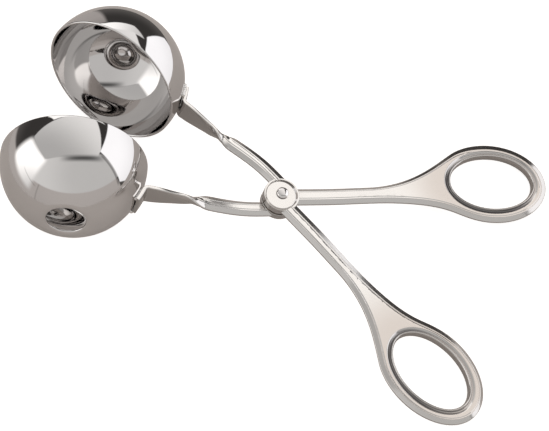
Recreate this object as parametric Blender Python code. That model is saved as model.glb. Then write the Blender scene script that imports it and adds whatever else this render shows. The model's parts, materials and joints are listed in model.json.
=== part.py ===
# Meatball tongs: two stainless arms crossing on a rivet, each with a finger loop at one end and a half-ball cup
# welded on at the other. Metres, +Z up. The tongs rest on a table on their cups and on the ends of the loops.
import math

import bmesh
import bpy
import numpy as np
from mathutils import Matrix, Vector

MM = 0.001

# Cups
CUP_RADIUS = 25.0 * MM
CUP_WALL = 0.9 * MM
VENT_RADIUS = 7.0 * MM
VENT_LIP_WIDTH = 2.4 * MM
VENT_LIP_DEPTH = 0.9 * MM
CUP_REACH = 71.8 * MM
CUP_TILT = math.radians(7.0)
CUP_DEEPER = 1.7 * MM

# Opening of the tongs in the photograph: each arm stands this far from closed
HALF_OPENING = math.radians(15.2)

# Section of the arms, bevelled on both faces
ARM_WIDTH = 5.3 * MM
ARM_THICKNESS = 2.8 * MM
ARM_BEVEL = 1.8 * MM
ARM_EDGE = 0.7 * MM

# Handle: a straight shank, set off the pivot, that flares into an oval finger loop
HANDLE_ANGLE = math.radians(-11.1)
LOOP_REACH = 79.0 * MM
LOOP_DROP = 5.6 * MM
LOOP_HALF_LENGTH = 15.4 * MM
LOOP_HALF_WIDTH = 10.3 * MM
LOOP_BAND_END = 5.5 * MM
LOOP_BAND_SIDE = 5.1 * MM
BEAD_WIDTH = 2.2 * MM
BEAD_RISE = 0.45 * MM
SHANK_WIDTH = 6.1 * MM
SHANK_SHIFT = 1.5 * MM
SHANK_LENGTH = 33.0 * MM
FAR_FLARE_START = 30.0 * MM
FAR_FLARE_END = 10.4 * MM
NEAR_FLARE_START = 17.8 * MM
NEAR_FLARE_END = 6.0 * MM
FAR_FLARE_ANGLE = math.radians(110.0)
NEAR_FLARE_ANGLE = math.radians(-122.5)
LOOP_SET = 1.3 * MM
LOOP_SET_START = 14.0 * MM
LOOP_SET_END = 42.0 * MM

# Front of the arm: bowed bar, quarter twist, strip on edge and weld tab
FRONT_SHIFT = 2.9 * MM
FRONT_SIDE = 7.0 * MM
FRONT_LEAD_X = 9.4 * MM
FRONT_LEAD_Y = 5.2 * MM
FRONT_RUN = 19.8 * MM
TWIST_START = 24.0 * MM
TWIST_END = 34.0 * MM
STRIP_THICKNESS = 1.3 * MM
STRIP_HEIGHT = 9.8 * MM
STRIP_DROP = 1.0 * MM
BEND_RADIUS = 1.6 * MM
TAB_LENGTH = 5.0 * MM

# Pivot
PAD_RADIUS = 6.25 * MM
PAD_DROP = 0.1 * MM
BOSS_RADIUS = 5.7 * MM
BOSS_FACE_RADIUS = 5.2 * MM
BOSS_RISE = 0.8 * MM
BOSS_SHIFT = 0.9 * MM
BEARING_RISE = 0.1 * MM
RIVET_RADIUS = 1.5 * MM
RIVET_HEAD_RADIUS = 2.15 * MM
RIVET_HEAD_RISE = 1.0 * MM
WASHER_RADIUS = 5.0 * MM
WASHER_THICKNESS = 0.5 * MM

# Fits
GAP = 0.3 * MM
RUNNING_FIT = 0.1 * MM
RIM_GAP = 0.2 * MM

# Fineness
CUP_SIDES = 60
CUP_BANDS = 12
ROUND_SIDES = 48
LOOP_SIDES = 72
VENT_BANDS = 4
SHANK_STEPS = 7
FLARE_STEPS = 14
ARC_STEPS = 44
FRONT_STEPS = 9
RUN_STEPS = 16
BEND_STEPS = 6
TAB_STEPS = 5
BEAD_STEPS = 6
CROWN_STEPS = 6
CREASE_ANGLE = math.radians(30.0)

STEEL_SLOT = "brushed_steel"
POLISH_SLOT = "polished_steel"

HALF_WIDTH = ARM_WIDTH / 2
HALF_FLAT = HALF_WIDTH - ARM_BEVEL
HALF_SHANK = SHANK_WIDTH / 2
HALF_THICKNESS = ARM_THICKNESS / 2
HALF_EDGE = ARM_EDGE / 2
LEVEL = WASHER_THICKNESS / 2 + GAP + BEARING_RISE + HALF_THICKNESS
TAB_RADIUS = CUP_RADIUS + GAP + STRIP_THICKNESS / 2
HALF_CLOSED = math.asin((CUP_DEEPER + RIM_GAP) / CUP_REACH)


def clear_scene():
    for obj in list(bpy.data.objects):
        bpy.data.objects.remove(obj, do_unlink=True)


def material(name, colour, roughness):
    mat = bpy.data.materials.new(name)
    mat.use_nodes = True
    shader = mat.node_tree.nodes["Principled BSDF"]
    shader.inputs["Base Color"].default_value = colour
    shader.inputs["Metallic"].default_value = 1.0
    shader.inputs["Roughness"].default_value = roughness
    return mat


def make_object(name, bm, mat, smooth=False):
    bmesh.ops.recalc_face_normals(bm, faces=bm.faces)
    mesh = bpy.data.meshes.new(name)
    bm.to_mesh(mesh)
    bm.free()
    if smooth:
        mesh.shade_smooth()
        mesh.set_sharp_from_angle(angle=CREASE_ANGLE)
    obj = bpy.data.objects.new(name, mesh)
    bpy.context.scene.collection.objects.link(obj)
    if mat is not None:
        mesh.materials.append(mat)
    return obj


def smooth_step(value, low, high):
    share = min(max((value - low) / (high - low), 0.0), 1.0)
    return share * share * (3.0 - 2.0 * share)


def bezier(p0, p1, p2, p3, t):
    s = 1.0 - t
    return p0 * s ** 3 + p1 * 3 * s * s * t + p2 * 3 * s * t * t + p3 * t ** 3


def revolve(bm, profile, sides):
    """Rings of vertices round Z from (radius, height) pairs; a third value sets the ring off along Y."""
    rings = []
    for radius, height, *set_off in profile:
        centre = sum(set_off)
        if radius == 0.0:
            rings.append([bm.verts.new((0.0, centre, height))])
            continue
        ring = []
        for i in range(sides):
            angle = 2 * math.pi * i / sides
            ring.append(bm.verts.new((radius * math.cos(angle), centre + radius * math.sin(angle), height)))
        rings.append(ring)
    return rings


def bridge(bm, first, second):
    count = max(len(first), len(second))
    for i in range(count):
        j = (i + 1) % count
        if len(first) == 1:
            bm.faces.new((first[0], second[i], second[j]))
        elif len(second) == 1:
            bm.faces.new((first[i], second[0], first[j]))
        else:
            bm.faces.new((first[i], second[i], second[j], first[j]))


def solid_of_revolution(name, profile, sides, mat, closed):
    bm = bmesh.new()
    rings = revolve(bm, profile, sides)
    for first, second in zip(rings, rings[1:]):
        bridge(bm, first, second)
    if closed:
        bridge(bm, rings[-1], rings[0])
    return make_object(name, bm, mat, True)


def cup_profile():
    """Outer and inner wall of the half ball: opening towards +Z, a little past its middle, and vent at -Z."""
    vent_angle = math.asin(VENT_RADIUS / CUP_RADIUS)
    lip_angle = vent_angle + VENT_LIP_WIDTH / CUP_RADIUS
    rim_angle = math.acos(-CUP_DEEPER / CUP_RADIUS)
    angles = [vent_angle + (lip_angle - vent_angle) * i / VENT_BANDS for i in range(VENT_BANDS)]
    angles += [lip_angle + (rim_angle - lip_angle) * i / CUP_BANDS for i in range(CUP_BANDS + 1)]
    outer = []
    inner = []
    for angle in angles:
        turn_share = max((lip_angle - angle) / (lip_angle - vent_angle), 0.0)
        sink = VENT_LIP_DEPTH * turn_share ** 2
        for radius, wall in ((CUP_RADIUS - sink, outer), (CUP_RADIUS - CUP_WALL - sink, inner)):
            wall.append((radius * math.sin(angle), -radius * math.cos(angle)))
    return outer + inner[::-1]


def make_cup(name, mat):
    return solid_of_revolution(name, cup_profile(), CUP_SIDES, mat, True)


def front_plan():
    """Plan of the front of the arm: a bowed run, then a bend on to the cup's wall."""
    bend_y = FRONT_SIDE + BEND_RADIUS
    bend_x = -CUP_REACH + math.sqrt((TAB_RADIUS + BEND_RADIUS) ** 2 - bend_y ** 2)
    start = Vector((0.0, FRONT_SHIFT))
    lead = Vector((-FRONT_LEAD_X, FRONT_LEAD_Y))
    run = Vector((-FRONT_RUN, FRONT_SIDE))
    end = Vector((bend_x, FRONT_SIDE))
    return (start, lead, run, end), Vector((bend_x, bend_y))


def front_point(t):
    points, _ = front_plan()
    here = bezier(*points, t)
    ahead = bezier(*points, min(t + 0.001, 1.0)) - bezier(*points, max(t - 0.001, 0.0))
    return here, math.atan2(ahead.y, ahead.x)


def front_share_at(distance):
    """Share of the bowed run at which it has gone this far towards the cup."""
    low, high = 0.0, 1.0
    for _ in range(40):
        middle = (low + high) / 2
        if -front_point(middle)[0].x < distance:
            low = middle
        else:
            high = middle
    return low


def arm_height(x):
    """Height of the arm's middle plane along the tongs."""
    if x > 0.0:
        return LEVEL - LOOP_SET * smooth_step(x, LOOP_SET_START, LOOP_SET_END)
    return LEVEL - (LEVEL + STRIP_DROP) * smooth_step(-x, PAD_RADIUS + HALF_WIDTH, TWIST_END)


def handle_edges():
    """Edge of the handle in the arm's plan, from one side of the shank round the loop to the other."""
    centre = Vector((LOOP_REACH, -LOOP_DROP))
    half_length = LOOP_HALF_LENGTH + LOOP_BAND_END
    half_width = LOOP_HALF_WIDTH + LOOP_BAND_SIDE

    def loop_point(angle):
        return centre + Vector((half_length * math.cos(angle), half_width * math.sin(angle)))

    def loop_tangent(angle):
        return Vector((half_length * math.sin(angle), -half_width * math.cos(angle))).normalized()

    far_side = HALF_SHANK - SHANK_SHIFT
    near_side = -HALF_SHANK - SHANK_SHIFT
    points = []
    for i in range(1, SHANK_STEPS):
        points.append(Vector((SHANK_LENGTH * i / SHANK_STEPS, far_side)))
    start = Vector((SHANK_LENGTH, far_side))
    end = loop_point(FAR_FLARE_ANGLE)
    lead = start + Vector((FAR_FLARE_START, 0.0))
    tail = end - loop_tangent(FAR_FLARE_ANGLE) * FAR_FLARE_END
    for i in range(FLARE_STEPS):
        points.append(bezier(start, lead, tail, end, i / FLARE_STEPS))
    for i in range(ARC_STEPS):
        angle = FAR_FLARE_ANGLE + (NEAR_FLARE_ANGLE - FAR_FLARE_ANGLE) * i / ARC_STEPS
        points.append(loop_point(angle))
    start = loop_point(NEAR_FLARE_ANGLE)
    end = Vector((SHANK_LENGTH, near_side))
    lead = start + loop_tangent(NEAR_FLARE_ANGLE) * NEAR_FLARE_END
    tail = end + Vector((NEAR_FLARE_START, 0.0))
    for i in range(FLARE_STEPS):
        points.append(bezier(start, lead, tail, end, i / FLARE_STEPS))
    for i in range(SHANK_STEPS - 1):
        points.append(Vector((SHANK_LENGTH * (1 - i / SHANK_STEPS), near_side)))
    turn = Matrix.Rotation(HANDLE_ANGLE, 2)
    return [turn @ p for p in points]


def front_edges(side, count):
    """Edge of the bowed bar on one side, from the twist towards the pivot."""
    points = []
    first = front_share_at(TWIST_START)
    for i in range(count):
        here, heading = front_point(first * (1 - i / FRONT_STEPS))
        lateral = Vector((math.sin(heading), -math.cos(heading)))
        points.append(here + lateral * HALF_WIDTH * side)
    return points


def inset(points, distance):
    """Move an open edge line inwards, keeping the two ends on the cut."""
    moved = []
    last = len(points) - 1
    for i, p in enumerate(points):
        back = (p - points[i - 1]).normalized() if i > 0 else None
        ahead = (points[i + 1] - p).normalized() if i < last else None
        back = back or ahead
        ahead = ahead or back
        normal = (Vector((back.y, -back.x)) + Vector((ahead.y, -ahead.x))).normalized()
        stretch = max(normal.dot(Vector((ahead.y, -ahead.x))), 0.5)
        moved.append(p + normal * distance / stretch)
    return moved


def fill_flat(bm, edges):
    bmesh.ops.triangle_fill(bm, edges=edges, use_beauty=True)


def loop_ring(offset):
    """Oval round the finger opening, this far outside its edge."""
    centre = Vector((LOOP_REACH, -LOOP_DROP))
    turn = Matrix.Rotation(HANDLE_ANGLE, 2)
    points = []
    for i in range(LOOP_SIDES):
        angle = 2 * math.pi * i / LOOP_SIDES
        along = (LOOP_HALF_LENGTH + offset) * math.cos(angle)
        across = (LOOP_HALF_WIDTH + offset) * math.sin(angle)
        points.append(turn @ (centre + Vector((along, across))))
    return points


def arm_section(half_width, half_flat, half_edge, half_top):
    """Five points along one face and five back along the other."""
    top = [(-half_width, half_edge), (-half_flat, half_top), (0.0, half_top),
           (half_flat, half_top), (half_width, half_edge)]
    return top + [(x, -z) for x, z in reversed(top)]


def strip_section(height):
    half = STRIP_THICKNESS / 2
    top = [(height * (i / 4 - 0.5), half) for i in range(5)]
    return top + [(x, -z) for x, z in reversed(top)]


def strip_stations():
    """Sections from the bar through the quarter twist and along the strip to the end of the weld tab."""
    stations = []
    first = front_share_at(TWIST_START)
    for i in range(RUN_STEPS + 1):
        t = first + (1.0 - first) * i / RUN_STEPS
        here, heading = front_point(t)
        distance = -here.x
        stations.append((here, heading, smooth_step(distance, TWIST_START, TWIST_END), distance, 0.0))
    reach = stations[-1][3]
    _, bend = front_plan()
    cup = Vector((-CUP_REACH, 0.0))
    to_bend = bend - cup
    wall_angle = math.atan2(to_bend.y, to_bend.x)
    start_turn = -math.pi / 2
    end_turn = wall_angle - math.pi
    for i in range(1, BEND_STEPS + 1):
        turn = start_turn + (end_turn - start_turn) * i / BEND_STEPS
        here = bend + Vector((math.cos(turn), math.sin(turn))) * BEND_RADIUS
        stations.append((here, turn - math.pi / 2, 1.0, reach, i / BEND_STEPS))
    for i in range(1, TAB_STEPS + 1):
        angle = wall_angle + TAB_LENGTH / TAB_RADIUS * i / TAB_STEPS
        here = cup + Vector((math.cos(angle), math.sin(angle))) * TAB_RADIUS
        stations.append((here, angle + math.pi / 2, 1.0, reach, 1.0))
    return stations, reach


def station_points(station, reach):
    here, heading, twist_share, distance, wrap_share = station
    lateral = Vector((math.sin(heading), -math.cos(heading), 0.0))
    up = Vector((0.0, 0.0, 1.0))
    turn = twist_share * math.pi / 2
    across = lateral * math.cos(turn) - up * math.sin(turn)
    normal = up * math.cos(turn) + lateral * math.sin(turn)
    grow_share = smooth_step(distance, TWIST_START, reach)
    height = ARM_WIDTH + (STRIP_HEIGHT - ARM_WIDTH) * grow_share
    bar = arm_section(HALF_WIDTH, HALF_FLAT, HALF_EDGE, HALF_THICKNESS)
    strip = strip_section(height)
    level = arm_height(here.x)
    points = []
    for (bx, bz), (sx, sz) in zip(bar, strip):
        x = bx + (sx - bx) * grow_share
        z = bz + (sz - bz) * grow_share
        point = Vector((here.x, here.y, level)) + across * x + normal * z
        sag = TAB_RADIUS - math.sqrt(TAB_RADIUS ** 2 - point.z ** 2)
        point -= lateral * sag * wrap_share
        points.append(point)
    return points


def make_arm_body(name, mat):
    bm = bmesh.new()
    outer_side = front_edges(1.0, FRONT_STEPS + 1)
    inner_side = front_edges(-1.0, FRONT_STEPS)
    edge = outer_side + handle_edges() + inner_side[::-1]
    flat = inset(edge, ARM_BEVEL)

    stations, reach = strip_stations()
    rings = [[bm.verts.new(p) for p in station_points(s, reach)] for s in stations]
    for first, second in zip(rings, rings[1:]):
        bridge(bm, first, second)
    bm.faces.new(rings[-1])

    # The bar's own edge lines begin and end on the first ring of the strip
    start = rings[0]
    lines = {}
    levels = (("flat_top", flat, HALF_THICKNESS, 3, 1), ("edge_top", edge, HALF_EDGE, 4, 0),
              ("edge_under", edge, -HALF_EDGE, 5, 9), ("flat_under", flat, -HALF_THICKNESS, 6, 8))
    for key, line, height, head, foot in levels:
        verts = [start[head]]
        for p in line[1:-1]:
            verts.append(bm.verts.new((p.x, p.y, arm_height(p.x) + height)))
        verts.append(start[foot])
        lines[key] = verts
    for upper, lower in (("flat_top", "edge_top"), ("edge_top", "edge_under"), ("edge_under", "flat_under")):
        for i in range(len(edge) - 1):
            bm.faces.new((lines[upper][i], lines[upper][i + 1], lines[lower][i + 1], lines[lower][i]))

    # Bead round the finger opening, the same on both faces
    bead = [(0.0, HALF_EDGE)]
    for i in range(1, BEAD_STEPS + 1):
        angle = math.pi * (1 - i / BEAD_STEPS)
        across = BEAD_WIDTH / 2 * (1 + math.cos(angle))
        height = HALF_EDGE + math.sin(angle) * (HALF_THICKNESS + BEAD_RISE - HALF_EDGE)
        if i > BEAD_STEPS / 2:
            height = max(height, HALF_THICKNESS)
        bead.append((across, height))
    loops = []
    for sign in (1.0, -1.0):
        group = []
        for offset, height in bead:
            ring = []
            for p in loop_ring(offset):
                ring.append(bm.verts.new((p.x, p.y, arm_height(p.x) + height * sign)))
            group.append(ring)
        for first, second in zip(group, group[1:]):
            bridge(bm, first, second)
        loops.append(group)
    bridge(bm, loops[0][0], loops[1][0])

    # Flat faces between the bevels and the bead
    for group, key, middle in ((loops[0], "flat_top", 2), (loops[1], "flat_under", 7)):
        rim = group[-1]
        edges = []
        for i in range(len(rim)):
            edges.append(bm.edges.get((rim[i], rim[(i + 1) % len(rim)])))
        line = lines[key]
        for i in range(len(line) - 1):
            edges.append(bm.edges.get((line[i], line[i + 1])))
        edges.append(bm.edges.get((line[0], start[middle])))
        edges.append(bm.edges.get((start[middle], line[-1])))
        fill_flat(bm, edges)
    return make_object(name, bm, mat)


def boss_profile():
    """Round pad as thick as the arm, and the boss that stands on it, a little off the pivot."""
    top = LEVEL + HALF_THICKNESS + BOSS_RISE
    foot = LEVEL - HALF_THICKNESS - BEARING_RISE
    ledge = LEVEL + HALF_THICKNESS - PAD_DROP
    return [(0.0, foot), (PAD_RADIUS, foot), (PAD_RADIUS, ledge), (BOSS_RADIUS, ledge, -BOSS_SHIFT / 2),
            (BOSS_FACE_RADIUS, top, -BOSS_SHIFT), (0.0, top, -BOSS_SHIFT)]


def helper(obj, parent):
    obj.display_type = 'WIRE'
    obj.hide_render = True
    obj.parent = parent
    return obj


def cut(obj, tool, operation):
    mod = obj.modifiers.new(operation.lower(), 'BOOLEAN')
    mod.operation = operation
    mod.solver = 'EXACT'
    mod.object = tool


def make_arm(name, mat):
    arm = make_arm_body(name, mat)
    boss = solid_of_revolution(name + "_boss_form", boss_profile(), ROUND_SIDES, None, False)
    cut(arm, helper(boss, arm), 'UNION')
    top = LEVEL + HALF_THICKNESS + BOSS_RISE
    radius = RIVET_RADIUS + RUNNING_FIT
    hole = [(0.0, -GAP), (radius, -GAP), (radius, top + GAP), (0.0, top + GAP)]
    bore = solid_of_revolution(name + "_bore_form", hole, ROUND_SIDES, None, False)
    cut(arm, helper(bore, arm), 'DIFFERENCE')
    return arm


def rivet_profile():
    seat = LEVEL + HALF_THICKNESS + BOSS_RISE + GAP
    crown = []
    for i in range(CROWN_STEPS + 1):
        angle = math.pi / 2 * i / CROWN_STEPS
        crown.append((RIVET_HEAD_RADIUS * math.cos(angle), seat + RIVET_HEAD_RISE * math.sin(angle)))
    crown[-1] = (0.0, seat + RIVET_HEAD_RISE)
    upper = [(RIVET_RADIUS, seat)] + crown
    lower = [(radius, -height) for radius, height in reversed(upper)]
    return lower + upper


def washer_profile():
    half = WASHER_THICKNESS / 2
    bore = RIVET_RADIUS + RUNNING_FIT
    return [(bore, -half), (WASHER_RADIUS, -half), (WASHER_RADIUS, half), (bore, half)]


def lowest(points, tilt):
    return float((points[:, 2] * math.cos(tilt) - points[:, 0] * math.sin(tilt)).min())


def points_of(objects):
    found = []
    for obj in objects:
        world = np.array(obj.matrix_world)
        mesh = np.array([v.co for v in obj.data.vertices])
        found.append(mesh @ world[:3, :3].T + world[:3, 3])
    return np.vstack(found)


def rest_on_table(root, cups, arms, solids):
    """Tilt the tongs until cups and loops reach the same level, and centre them on the origin."""
    bpy.context.view_layer.update()
    cup_points = points_of(cups)
    arm_points = points_of(arms)
    loop_points = arm_points[arm_points[:, 0] > SHANK_LENGTH]
    low, high = 0.0, math.radians(30.0)
    for _ in range(40):
        tilt = (low + high) / 2
        if lowest(cup_points, tilt) < lowest(loop_points, tilt):
            low = tilt
        else:
            high = tilt
    root.rotation_euler = (0.0, low, 0.0)
    bpy.context.view_layer.update()
    everything = points_of(solids)
    least = everything.min(axis=0)
    most = everything.max(axis=0)
    middle = (least + most) / 2
    root.location = (-middle[0], -middle[1], -least[2])
    bpy.context.view_layer.update()


def main():
    clear_scene()
    steel = material(STEEL_SLOT, (0.74, 0.71, 0.68, 1.0), 0.28)
    polish = material(POLISH_SLOT, (0.80, 0.79, 0.78, 1.0), 0.05)

    root = bpy.data.objects.new("tongs_plane", None)
    bpy.context.scene.collection.objects.link(root)

    upper_arm = make_arm("upper_arm", steel)
    lower_arm = make_arm("lower_arm", steel)
    upper_arm.rotation_euler = (0.0, 0.0, -HALF_OPENING)
    lower_arm.rotation_euler = (math.pi, 0.0, HALF_OPENING)
    cups = []
    for name, arm in (("upper_cup", upper_arm), ("lower_cup", lower_arm)):
        cup = make_cup(name, polish)
        cup.parent = arm
        cup.location = (-CUP_REACH, 0.0, 0.0)
        cup.rotation_euler = (math.pi / 2 - CUP_TILT, 0.0, HALF_CLOSED)
        cups.append(cup)

    rivet = solid_of_revolution("pivot_rivet", rivet_profile(), ROUND_SIDES, steel, False)
    washer = solid_of_revolution("pivot_washer", washer_profile(), ROUND_SIDES, steel, True)
    for obj in (upper_arm, lower_arm, rivet, washer):
        obj.parent = root
    rest_on_table(root, cups, [upper_arm, lower_arm], cups + [upper_arm, lower_arm, rivet])


main()
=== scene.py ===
# Looks of the meatball tongs: mirror-polished cups, satin arms, rivet, washer and welds, in a light tent
import json
import math

import bmesh
import bpy
import numpy as np
from mathutils import Matrix, Vector, geometry


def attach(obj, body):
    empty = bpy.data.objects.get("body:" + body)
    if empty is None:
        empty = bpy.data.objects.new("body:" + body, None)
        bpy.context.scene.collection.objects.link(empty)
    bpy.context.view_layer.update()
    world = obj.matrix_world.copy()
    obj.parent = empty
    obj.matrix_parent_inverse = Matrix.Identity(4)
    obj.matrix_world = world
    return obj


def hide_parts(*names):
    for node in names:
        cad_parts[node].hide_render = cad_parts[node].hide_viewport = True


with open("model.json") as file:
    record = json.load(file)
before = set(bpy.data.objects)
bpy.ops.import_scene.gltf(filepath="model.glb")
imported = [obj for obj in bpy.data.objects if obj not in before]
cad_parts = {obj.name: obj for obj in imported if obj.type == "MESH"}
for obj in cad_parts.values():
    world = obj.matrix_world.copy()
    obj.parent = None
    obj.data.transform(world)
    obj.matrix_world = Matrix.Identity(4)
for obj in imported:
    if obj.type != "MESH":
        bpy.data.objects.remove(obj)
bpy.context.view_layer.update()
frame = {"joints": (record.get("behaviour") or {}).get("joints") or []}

MM = 0.001

# Cups
CUP_RADIUS = 25.0 * MM
CUP_WALL = 0.9 * MM
VENT_RADIUS = 7.0 * MM
VENT_LIP_WIDTH = 2.4 * MM
VENT_LIP_DEPTH = 0.9 * MM
CUP_REACH = 71.8 * MM
CUP_TILT = math.radians(7.0)
CUP_DEEPER = 1.7 * MM
HALF_OPENING = math.radians(15.2)

# Arms
ARM_WIDTH = 5.3 * MM
ARM_THICKNESS = 2.8 * MM
ARM_BEVEL = 1.8 * MM
ARM_EDGE = 0.7 * MM
EDGE_ROUND = 0.3 * MM
CROWN_ROUND = 0.5 * MM
HANDLE_ANGLE = math.radians(-11.1)
LOOP_REACH = 79.0 * MM
LOOP_DROP = 5.6 * MM
LOOP_HALF_LENGTH = 15.4 * MM
LOOP_HALF_WIDTH = 10.3 * MM
LOOP_BAND_END = 5.5 * MM
LOOP_BAND_SIDE = 5.1 * MM
BEAD_CREST = 0.65 * MM
BEAD_RISE = 0.3 * MM
GROOVE_MIDDLE = 1.3 * MM
GROOVE_END = 2.5 * MM
GROOVE_DEPTH = 0.5 * MM
LINE_WIDTH = 0.25 * MM
LINE_DEPTH = 0.15 * MM
SHANK_WIDTH = 6.1 * MM
SHANK_SHIFT = 1.5 * MM
SHANK_LENGTH = 33.0 * MM
FAR_FLARE_START = 30.0 * MM
FAR_FLARE_END = 10.4 * MM
NEAR_FLARE_START = 17.8 * MM
NEAR_FLARE_END = 6.0 * MM
FAR_FLARE_ANGLE = math.radians(110.0)
NEAR_FLARE_ANGLE = math.radians(-122.5)
LOOP_SET = 1.3 * MM
LOOP_SET_START = 14.0 * MM
LOOP_SET_END = 42.0 * MM
FRONT_SHIFT = 2.9 * MM
FRONT_SIDE = 7.0 * MM
FRONT_LEAD_X = 9.4 * MM
FRONT_LEAD_Y = 5.2 * MM
FRONT_RUN = 19.8 * MM
TWIST_START = 24.0 * MM
TWIST_END = 34.0 * MM
STRIP_THICKNESS = 1.3 * MM
STRIP_HEIGHT = 9.8 * MM
STRIP_DROP = 1.0 * MM
BEND_RADIUS = 1.6 * MM
TAB_LENGTH = 5.0 * MM
# Width of the bevel along the arm's edge as (share of the way round, share of the named width): out along
# the far side, round the loop's tip and back along the near side
BEVEL_SHARES = {
    "top": ((0.0, 1.2), (0.26, 1.2), (0.42, 0.8), (0.54, 0.92), (1.0, 0.92)),
    "under": ((0.0, 1.0), (0.44, 1.0), (0.52, 1.4), (0.66, 1.4), (0.76, 0.8), (1.0, 0.8)),
}
# Share of the way, at each end of the edge, over which the bevel takes the named width again
BEVEL_END_SHARE = 0.04

# Welds: drops in a row along the tab, from a share of its length on and a step apart, with a size that
# swings by a share, and on by an angle from drop to drop
WELD_RADIUS = 0.75 * MM
WELD_DROPS = 6
WELD_START_SHARE = 0.12
WELD_STEP_SHARE = 0.16
WELD_SWING_SHARE = 0.14
WELD_SWING_TURN = 2.4
WELD_VOXEL = WELD_RADIUS / 6
WELD_SOFTENING = 6

# Pivot
PAD_RADIUS = 6.25 * MM
PAD_DROP = 0.1 * MM
BOSS_RADIUS = 5.7 * MM
BOSS_FACE_RADIUS = 5.2 * MM
BOSS_RISE = 0.8 * MM
BOSS_SHIFT = 0.9 * MM
BEARING_RISE = 0.1 * MM
RIVET_RADIUS = 1.5 * MM
RIVET_HEAD_RADIUS = 2.15 * MM
RIVET_HEAD_RISE = 1.0 * MM
WASHER_RADIUS = 5.0 * MM
WASHER_THICKNESS = 0.5 * MM
GAP = 0.3 * MM
RUNNING_FIT = 0.1 * MM
RIM_GAP = 0.2 * MM

# Fineness of the meshes. The cup's rings lie closer together towards the vent, by the power
CORNER_STEPS = 4
CUP_SIDES = 192
CUP_RING_POWER = 1.3
PIVOT_SIDES = 96
BORE_SIDES = 64
FRONT_STEPS = 22
FLAT_SPACING = 0.9 * MM
TRIANGLE_RISE = 0.866
RIM_CLEARANCE_SHARE = 0.45
MERGE_DISTANCE = 1e-9
# Where a shape's edges stay sharp: from this angle up, in degrees
SHARP_ANGLES = {"cup": 60.0, "arm": 28.0, "weld": 60.0, "rivet": 50.0, "washer": 30.0}
NORMAL_WEIGHT = 80

# Steels: two tints that drift into each other, roughness of the smoothest and the roughest marks, scale of
# the marks along X, Y and Z and of the drift, both per metre, and height of the marks
STEELS = {
    "satin": {"light": (0.96, 0.925, 0.89), "dark": (0.91, 0.875, 0.84), "smooth": 0.10, "rough": 0.18,
              "grain": (80.0, 2600.0, 2600.0), "drift": 60.0, "height": 0.01 * MM},
    "mirror": {"light": (0.70, 0.685, 0.675), "dark": (0.66, 0.645, 0.64), "smooth": 0.03, "rough": 0.06,
               "grain": (60.0, 60.0, 900.0), "drift": 45.0, "height": 0.002 * MM},
    "weld": {"light": (0.88, 0.86, 0.84), "dark": (0.66, 0.64, 0.62), "smooth": 0.12, "rough": 0.3,
             "grain": (700.0, 700.0, 700.0), "drift": 400.0, "height": 0.02 * MM},
    "turned": {"light": (0.80, 0.77, 0.75), "dark": (0.72, 0.70, 0.69), "smooth": 0.05, "rough": 0.12,
               "grain": (900.0, 900.0, 300.0), "drift": 300.0, "height": 0.004 * MM},
    # The washer's dark tints are painted shade for the gap between the arms; its roughness is its own
    "dull_and_gap_shaded": {"light": (0.40, 0.385, 0.37), "dark": (0.30, 0.29, 0.28), "smooth": 0.35, "rough": 0.5,
             "grain": (900.0, 900.0, 900.0), "drift": 300.0, "height": 0.01 * MM},
}
DRIFT_DETAIL = 2.0
MARK_DETAIL = 4.0
MARK_ROUGHNESS = 0.6
MARK_STRENGTH = 0.3
NOISE_RANGE = (0.3, 0.7)

# Tones of the satin arms: warmer on the web, with painted shade on bevels and walls, and the darkest painted
# shade down in the loop's groove
WEB_TONE = (0.73, 0.665, 0.615)
BEVEL_SHADE_TONE = (0.62, 0.605, 0.59)
WALL_SHADE_TONE = (0.34, 0.32, 0.305)
GROOVE_SHADE_TONE = (0.14, 0.135, 0.14)
# The web's tone is full and gone at these distances from the loop's middle, in the groove's half sizes
WEB_REACH_SHARES = (1.15, 2.3)
# Painted shade by how far a face looks up or down: where each tone is full, where it has gone, and how strong
# it is
FACING_SHADE_TONES = ((0.92, 0.975, BEVEL_SHADE_TONE, 0.85), (0.2, 0.75, WALL_SHADE_TONE, 0.45))
# Half width of the groove's painted shade, in the groove's half sizes
GROOVE_SHADE_SPREAD_SHARES = {"upper": 0.065, "lower": 0.085}
# The groove's painted shade is strongest on the side of the loop that lies this way. It grows between two
# places along that way, from one strength to another
GROOVE_SHADE_WAYS = {"upper": (-0.8, -0.6, 0.0), "lower": (-0.6, 0.8, 0.0)}
GROOVE_SHADE_FADE = (-0.4, 0.5, 0.3, 0.85)

# Camera, in the photograph's frame
IMAGE_WIDTH = 549
IMAGE_HEIGHT = 431
CAMERA_AZIMUTH = math.radians(-5.5)
CAMERA_ELEVATION = math.radians(59.3)
CAMERA_ROLL = math.radians(27.6)
CAMERA_DISTANCE = 705.0 * MM
FOCAL_PIXELS = 2045.0
PIVOT_PIXEL = (279.6, 198.8)
SENSOR_WIDTH = 36.0

# Studio
FLOOR_RADIUS = 170.0 * MM
FLOOR_DROP = 0.02 * MM
FLOOR_SIDES = 96
FLOOR_COLOUR = (0.62, 0.575, 0.545)
FLOOR_CAMERA_GLOW = 0.80
WHITE = (1.0, 1.0, 1.0)
NEUTRAL = (1.0, 0.985, 0.97)
COOL = (0.985, 0.98, 1.0)
WARM = (1.0, 0.93, 0.89)
# The room beyond the tent: two heights of a direction, and the brightness at each
ROOM_FADE = (-0.6, 0.2, 0.16, 0.05)
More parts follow.
